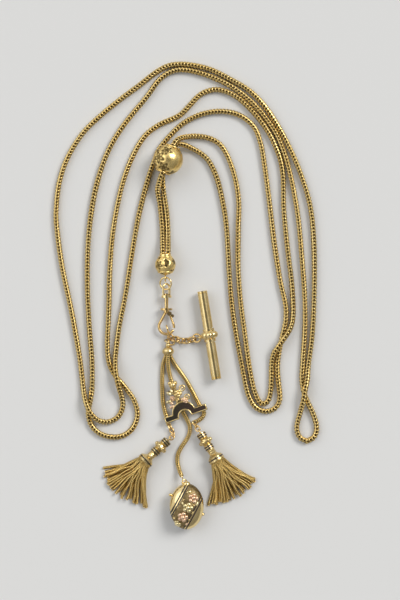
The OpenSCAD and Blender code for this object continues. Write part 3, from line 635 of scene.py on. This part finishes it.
# the fringes: fine strands in three layers, from under the bell collar to the tips
fringes = {
    "left": {"place": (-8.3, -58.8), "yaw": 222, "tips": [
        (0.86, -8.4), (0.93, -6.6), (0.99, -4.2), (1.0, -1.8), (1.02, 0.8), (1.0, 3.2), (0.93, 5.8),
        (0.86, 8.2), (0.78, 10.6), (0.72, 12.8), (0.68, 14.4),
    ]},
    "right": {"place": (6.2, -56.1), "yaw": 301.5, "tips": [
        (0.84, -11.8), (0.88, -9.6), (0.92, -7.2), (0.96, -4.8), (0.99, -2.2), (1.01, 0.4), (1.0, 3),
        (0.96, 5.4), (0.92, 7.4), (0.84, 9),
    ]},
    "bell": 11.4, "long": 17, "strands": 38, "seed": 11, "half": 2.3,
    "rootHigh": 2.0, "rootLayer": 1.1, "tipHigh": 0.45, "tipLayer": 0.55,
    "bendAt": 0.4, "sag": 0.85, "flare": 0.75, "bow": 0.75, "ripple": 0.35,
}


def fringeWays(look):
    chance = random.Random(fringes["seed"])
    tips = look["tips"]
    yaw = math.radians(look["yaw"])
    ahead = np.array([math.cos(yaw), math.sin(yaw), 0])
    aside = np.array([-math.sin(yaw), math.cos(yaw), 0])
    ways = []
    count = fringes["strands"]
    for i in range(count):
        share = i / (count - 1) * (len(tips) - 1)
        low = min(int(share), len(tips) - 2)
        part = share - low
        reach = tips[low][0] * (1 - part) + tips[low + 1][0] * part
        sideways = tips[low][1] * (1 - part) + tips[low + 1][1] * part
        reach = fringes["bell"] + fringes["long"] * (reach * 0.98 + chance.uniform(-0.06, 0.03))
        sideways += chance.uniform(-0.5, 0.5)
        spread = i / (count - 1) * 2 - 1
        layer = i % 3
        root = fringes["bell"] * ahead + spread * fringes["half"] * aside
        root[2] = fringes["rootHigh"] + fringes["rootLayer"] * layer
        tip = reach * ahead + sideways * aside
        tip[2] = fringes["tipHigh"] + fringes["tipLayer"] * layer
        bend = root + (tip - root) * fringes["bendAt"]
        bend[2] = root[2] * fringes["sag"]
        bend += aside * (root @ aside - bend @ aside) * fringes["flare"]
        bow = chance.uniform(-fringes["bow"], fringes["bow"]) * aside
        ripple = chance.uniform(-fringes["ripple"], fringes["ripple"]) * aside
        way = []
        for t in np.linspace(0, 1, 14):
            spot = root * (1 - t) ** 2 + bend * 2 * t * (1 - t) + tip * t * t
            spot += bow * math.sin(t * math.pi * 1.6) + ripple * math.sin(t * math.pi * 4)
            way.append(spot + np.array([look["place"][0], look["place"][1], 0]))
        ways.append(np.array(way))
    return ways


def strandTwist(gone, strand):
    return math.pi / 4 + 0.2 * math.sin(strand * 2.4 + gone * 0.3)


for side in ("left", "right"):
    ways = fringeWays(fringes[side])
    weave("fringeStrands" + side.capitalize(), ways, fringeWeave, strandTwist, "jewel", ["fringe_" + side])
print("fringes made")


def facing(normal):
    return Vector((0, 0, 1)).rotation_difference(Vector(normal)).to_matrix()


# a small rose: a round middle with five petals pressed against it, its face along the normal
def flower(place, radius, normal=(0, 0, 1), petals=5):
    turn = facing(normal)
    lean = Vector(normal).normalized()
    petal = radius * 0.42
    made = [ball(Vector(place) + lean * radius * 0.2, petal, (1, 1, 0.8), turn.to_euler(), 14, 8)]
    for k in range(petals):
        way = turn @ Matrix.Rotation(2 * math.pi * k / petals, 3, "Z")
        spot = Vector(place) + way @ Vector((radius * 0.62, 0, 0))
        made.append(ball(spot, petal, (0.9, 1, 0.7), way.to_euler(), 12, 8))
    return made


# a pointed leaf with a raised middle
def leaf(place, long, wide, yaw, normal=(0, 0, 1)):
    turn = facing(normal) @ Matrix.Rotation(math.radians(yaw), 3, "Z")
    made = ball(place, long / 2, (1, wide / long, 0.32), turn.to_euler(), 16, 8)
    crest = [Vector((s * long / 2, 0, 0.16 * long * (1 - s * s))) for s in (-0.9, 0, 0.9)]
    rib = [Vector(place) + turn @ spot for spot in crest]
    return [made, bentWire(rib, 0.18, steps=4)]


# the spray above the plaque: wires, curls, a gold blossom, small flowers, leaves and beads
spray = {
    "height": 3.55, "wire": 0.6, "curlWire": 0.55,
    "wires": [[(-3.6, -43.8), (-4, -41.6), (-4.2, -39.6), (-4.8, -37), (-5.2, -35.8)],
              [(-3.9, -42.4), (-2.4, -41.4), (-0.8, -41.2), (0.5, -41.3)],
              [(-4.2, -40), (-5.4, -39.4), (-6.6, -38.8)], [(-4, -41.4), (-5.2, -42), (-6.4, -42.6)],
              [(-4.3, -39), (-3.2, -38.4), (-2.4, -37.8)]],
    "curls": [(-1.7, -37, 1.1), (0.2, -40.5, 1.0), (-5.5, -36.2, 1.1)],
    "blossom": (-3.4, -39.2, 1.7),
    "flowers": [(-0.4, -42.1, 1.1), (-5.7, -41.2, 1.1)],
    "paleLeaves": [(-7, -39.4, 2.3, 1.3, 150), (-7.1, -42.6, 2.2, 1.3, 200),
                   (-6, -38.4, 1.8, 1.1, 120), (-2.2, -38.4, 1.8, 1.0, 30)],
    "pinkLeaves": [(-1.4, -41.5, 2.0, 1.2, 40), (-5.8, -44.6, 2.0, 1.2, 210),
                   (-6, -43.2, 1.8, 1.1, 160)],
    "beads": [(-6.7, -35.2, 0.75), (-4.5, -34.9, 0.8), (-5.4, -35.9, 1.3), (-1.7, -37, 0.5),
              (0.2, -40.5, 0.45)],
}


def makeSpray():
    high = spray["height"]
    wires = [bentWire([(x, y, high - 0.25) for x, y in row], spray["wire"]) for row in spray["wires"]]
    wires += [ring((x, y, high - 0.2), r, spray["curlWire"], around=24) for x, y, r in spray["curls"]]
    wires += [ball((x, y, high + 0.1), r) for x, y, r in spray["beads"]]
    x, y, r = spray["blossom"]
    wires += flower((x, y, high + 0.05), r)
    gold = painted(joined(wires, "sprayWires"), "polishedGold")
    pink = []
    for x, y, r in spray["flowers"]:
        pink += flower((x, y, high + 0.05), r)
    for x, y, long, wide, yaw in spray["pinkLeaves"]:
        pink += leaf((x, y, high - 0.15), long, wide, yaw)
    pink = painted(joined(pink, "sprayFlowers"), "pinkGold")
    pale = []
    for x, y, long, wide, yaw in spray["paleLeaves"]:
        pale += leaf((x, y, high - 0.15), long, wide, yaw)
    pale = painted(joined(pale, "sprayLeaves"), "greenGold")
    for piece in (gold, pink, pale):
        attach(piece, "jewel")


makeSpray()
print("spray made")

# rounded gold rims that stand round the plaque's enamel, in the plaque's own directions from its middle
rim = {
    "place": (-0.7, -47.4, 3.45), "yaw": 18.9, "wire": 0.46,
    "low": -8.05, "high": 8.9, "half": 1.0,
    "outer": (-0.1, 0.4, 4.6), "inner": (-0.1, -0.95, 2.7),
}


def arcPoints(circle, start, end, count):
    x, y, r = circle
    turns = [math.radians(start + (end - start) * i / (count - 1)) for i in range(count)]
    return [(x + r * math.cos(t), y + r * math.sin(t)) for t in turns]


def makeRim():
    half = rim["half"]
    rise = math.degrees(math.asin((half - rim["outer"][1]) / rim["outer"][2]))
    points = [(rim["low"], -half), (rim["low"], half)]
    points += arcPoints(rim["outer"], 180 - rise, rise, 25)
    points += [(rim["high"], half), (rim["high"], -half)]
    points += arcPoints(rim["inner"], 0, 180, 19)
    turn = Matrix.Rotation(math.radians(rim["yaw"]), 3, "Z")
    points = [Vector(rim["place"]) + turn @ Vector((x, y, 0)) for x, y in points]
    piece = painted(bentWire(points, rim["wire"], True, 2, 1, "VECTOR"), "polishedGold")
    piece.name = "plaqueRim"
    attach(piece, "jewel")


makeRim()
print("plaque rim made")

# the drop: a smooth oval with slanting enamel bands, a gold line in each, flowers, leaves and studs
drop = {
    "place": (0.1, -84.1, 4.5), "half": (6.8, 9.1, 4.5),
    "slant": 28.5, "bands": (-4, 3.5), "bandWide": 1.5, "lineWide": 0.32, "skin": 0.2,
    "panel": (-0.25, 5.9),
    "cap": (0.05, -75.2, 1.5), "capRing": (0, -75.6, 1.45, 0.5), "bail": (-0.8, -74.4, 4.4, 0.95, 0.6),
    "flowers": [(2.6, 3.6, 2.2, "pinkGold"), (0.5, -0.1, 2.2, "greenGold"), (-1.5, -3.8, 2.2, "pinkGold"),
                (-3.5, -6.5, 1.6, "greenGold")],
    "leaves": [(1, 6.1, 2.2, 1.1, 20, "polishedGold"), (4.2, 1.4, 2, 1, 60, "greenGold"),
               (0.1, -6.6, 1.6, 0.9, 40, "pinkGold"), (-1.6, 1.6, 1.5, 0.8, 110, "greenGold"),
               (2.4, -2.2, 1.5, 0.8, 70, "polishedGold")],
    "beads": [(-4.9, -4.4, 0.5), (-1.2, 2.9, 0.35), (2.9, 0.9, 0.35), (-3.3, -3.2, 0.35),
              (0.9, -4.9, 0.35)],
    "studs": [(-6.45, 4.6, 0.7), (6.45, -3.1, 0.7)],
}


def dropHeight(x, y, grow=0):
    a, b, c = (side + grow for side in drop["half"])
    return c * math.sqrt(max(0.02, 1 - (x / a) ** 2 - (y / b) ** 2))


def dropSpot(x, y):
    a, b, c = drop["half"]
    z = dropHeight(x, y)
    lean = Vector((x / a ** 2, y / b ** 2, z / c ** 2)).normalized()
    return Vector(drop["place"]) + Vector((x, y, z)), lean


def ovalShell(grow, name):
    clearSelection()
    bpy.ops.mesh.primitive_uv_sphere_add(segments=96, ring_count=64, radius=mm, location=(0, 0, 0),
                                         rotation=(math.pi / 2, 0, 0))
    shell = settle(bpy.context.object)
    shell.scale = [side + grow for side in drop["half"]]
    shell.location = Vector(drop["place"]) * mm
    return smooth(settle(shell, name))


def bandOf(shell, middle, wide):
    turn = math.radians(-drop["slant"])
    way = Vector((math.cos(turn), math.sin(turn), 0))
    pickOnly(shell)
    for sign in (-1, 1):
        spot = (Vector(drop["place"]) + way * (middle + sign * wide / 2)) * mm
        bpy.ops.object.mode_set(mode="EDIT")
        bpy.ops.mesh.select_all(action="SELECT")
        bpy.ops.mesh.bisect(plane_co=spot, plane_no=way * sign, clear_outer=True)
        bpy.ops.object.mode_set(mode="OBJECT")
    bpy.ops.object.modifier_add(type="SOLIDIFY")
    shell.modifiers[0].thickness = drop["skin"] * mm
    shell.modifiers[0].offset = -1
    bpy.ops.object.modifier_apply(modifier=shell.modifiers[0].name)
    return smooth(shell)


def makeDrop():
    body = ovalShell(0, "dropBody")
    px, py, pz = drop["place"]
    extras = [body]
    for x, y, r in drop["studs"]:
        extras.append(ball((px + x, py + y, pz), r, segments=16, rings=10))
    x, y, r = drop["cap"]
    extras.append(ball((x, y, pz), r, (1, 0.8, 1), segments=24, rings=16))
    x, y, r, wire = drop["capRing"]
    extras.append(ring((x, y, pz), r, wire, (math.radians(80), 0, 0), 32, 8))
    x, y, z, r, wire = drop["bail"]
    extras.append(ring((x, y, z), r, wire, (0, math.radians(20), 0), 32, 8))
    whole = painted(joined(extras, "dropBody"), "polishedGold")
    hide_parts("drop")
    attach(whole, "jewel")
    for k, middle in enumerate(drop["bands"]):
        dark = bandOf(ovalShell(0.04, "dropEnamel" + str(k)), middle, drop["bandWide"])
        painted(dark, "blackEnamel")
        if k == 0:
            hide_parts("drop_enamel")
        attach(dark, "jewel")
        line = bandOf(ovalShell(0.08, "dropLine" + str(k)), middle, drop["lineWide"])
        painted(line, "polishedGold")
        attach(line, "jewel")
    middle, wide = drop["panel"]
    panel = painted(bandOf(ovalShell(0.05, "dropPanel"), middle, wide), "darkGold")
    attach(panel, "jewel")
    byPaint = {}
    for x, y, r, paint in drop["flowers"]:
        spot, lean = dropSpot(x, y)
        byPaint.setdefault(paint, []).extend(flower(spot + lean * 0.15, r, lean))
    for x, y, long, wide, yaw, paint in drop["leaves"]:
        spot, lean = dropSpot(x, y)
        byPaint.setdefault(paint, []).extend(leaf(spot + lean * 0.05, long, wide, yaw, lean))
    for x, y, r in drop["beads"]:
        spot, lean = dropSpot(x, y)
        byPaint.setdefault("polishedGold", []).append(ball(spot, r, segments=12, rings=8))
    for paint, parts in byPaint.items():
        piece = joined(parts, "dropOrnament" + paint[0].upper() + paint[1:])
        painted(piece, paint)
        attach(piece, "jewel")


makeDrop()
print("drop made")

# carried-over solids get their finish
carried = {
    "polishedGold": ["t_bar", "clip_ring", "swivel_bow", "plaque"],
    "clipGold": ["clip_hook", "clip_lever", "hook_ring", "pendant_link", "bar_link_1", "bar_link_2",
                 "bar_link_3", "bar_link_4", "bar_ring", "tassel_link_left_1", "tassel_link_left_2",
                 "tassel_link_left_3", "tassel_link_left_4", "tassel_link_right_1", "tassel_link_right_2"],
    "wornGold": ["pendant_cap", "tassel_head_left", "tassel_head_right"],
    "blackEnamel": ["plaque_enamel", "tassel_enamel_left", "tassel_enamel_right"],
}
for paint, names in carried.items():
    for name in names:
        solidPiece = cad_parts[name]
        solidPiece.data.materials.clear()
        solidPiece.data.materials.append(paints[paint])
print("solids painted")

# a pale table, a soft room that is darker overhead, and two wide lamps
studio = {
    "floor": (0.68, 0.685, 0.685), "speck": (0.6, 0.6, 0.6), "speckScale": 700, "rough": 0.75, "wide": 3,
    "zenith": (0.25, 0.25, 0.25),
    "horizon": (1.0, 0.99, 0.97),
    "strength": 0.54,
    "tilt": (-0.22, 0.22),
    "lamps": [
        {"name": "key", "from": (420, 330, 520), "strength": 1.85, "spread": 28, "tone": (1, 0.98, 0.95)},
        {"name": "fill", "from": (-450, 200, 480), "strength": 0.65, "spread": 50, "tone": (0.96, 0.98, 1)},
    ],
}


def makeStudio():
    clearSelection()
    bpy.ops.mesh.primitive_plane_add(size=studio["wide"], location=(0, 0, 0))
    floor = settle(bpy.context.object, "floor")
    finish = Finish(bpy.data.materials.new("palePaper"))
    place = finish.node("ShaderNodeTexCoord", out=3)
    speck = finish.grain(place, studio["speckScale"])
    colour = finish.blend(speck * 0.06, solid(studio["floor"]), solid(studio["speck"]))
    floor.data.materials.append(finish.surface({"Base Color": colour, "Roughness": studio["rough"]}))
    bpy.context.scene.world = bpy.data.worlds.new("softRoom")
    room = Finish(bpy.context.scene.world)
    direction = room.node("ShaderNodeTexCoord", out=0)
    height = room.node("ShaderNodeSeparateXYZ", None, {0: direction}, 2)
    low = solid(studio["horizon"])
    stops = [(0.0, low), (0.85, low), (0.985, solid(studio["zenith"]))]
    shade = room.node("ShaderNodeValToRGB", {"stops": stops}, {"Fac": height})
    across = room.node("ShaderNodeSeparateXYZ", None, {0: direction}, 0)
    upward = room.node("ShaderNodeSeparateXYZ", None, {0: direction}, 1)
    strength = across * studio["tilt"][0] + upward * studio["tilt"][1] + studio["strength"]
    glow = room.node("ShaderNodeBackground", None, {"Color": shade, "Strength": strength})
    room.node("ShaderNodeOutputWorld", None, {"Surface": glow})
    for lamp in studio["lamps"]:
        clearSelection()
        aim = (-Vector(lamp["from"])).to_track_quat("-Z", "Y").to_euler()
        bpy.ops.object.light_add(type="SUN", location=Vector(lamp["from"]) * mm, rotation=aim)
        light = bpy.context.object
        light.name = lamp["name"]
        light.data.angle = math.radians(lamp["spread"])
        light.data.energy = lamp["strength"]
        light.data.color = lamp["tone"]
    bpy.context.scene.view_settings.view_transform = "Standard"


makeStudio()
print("studio set")
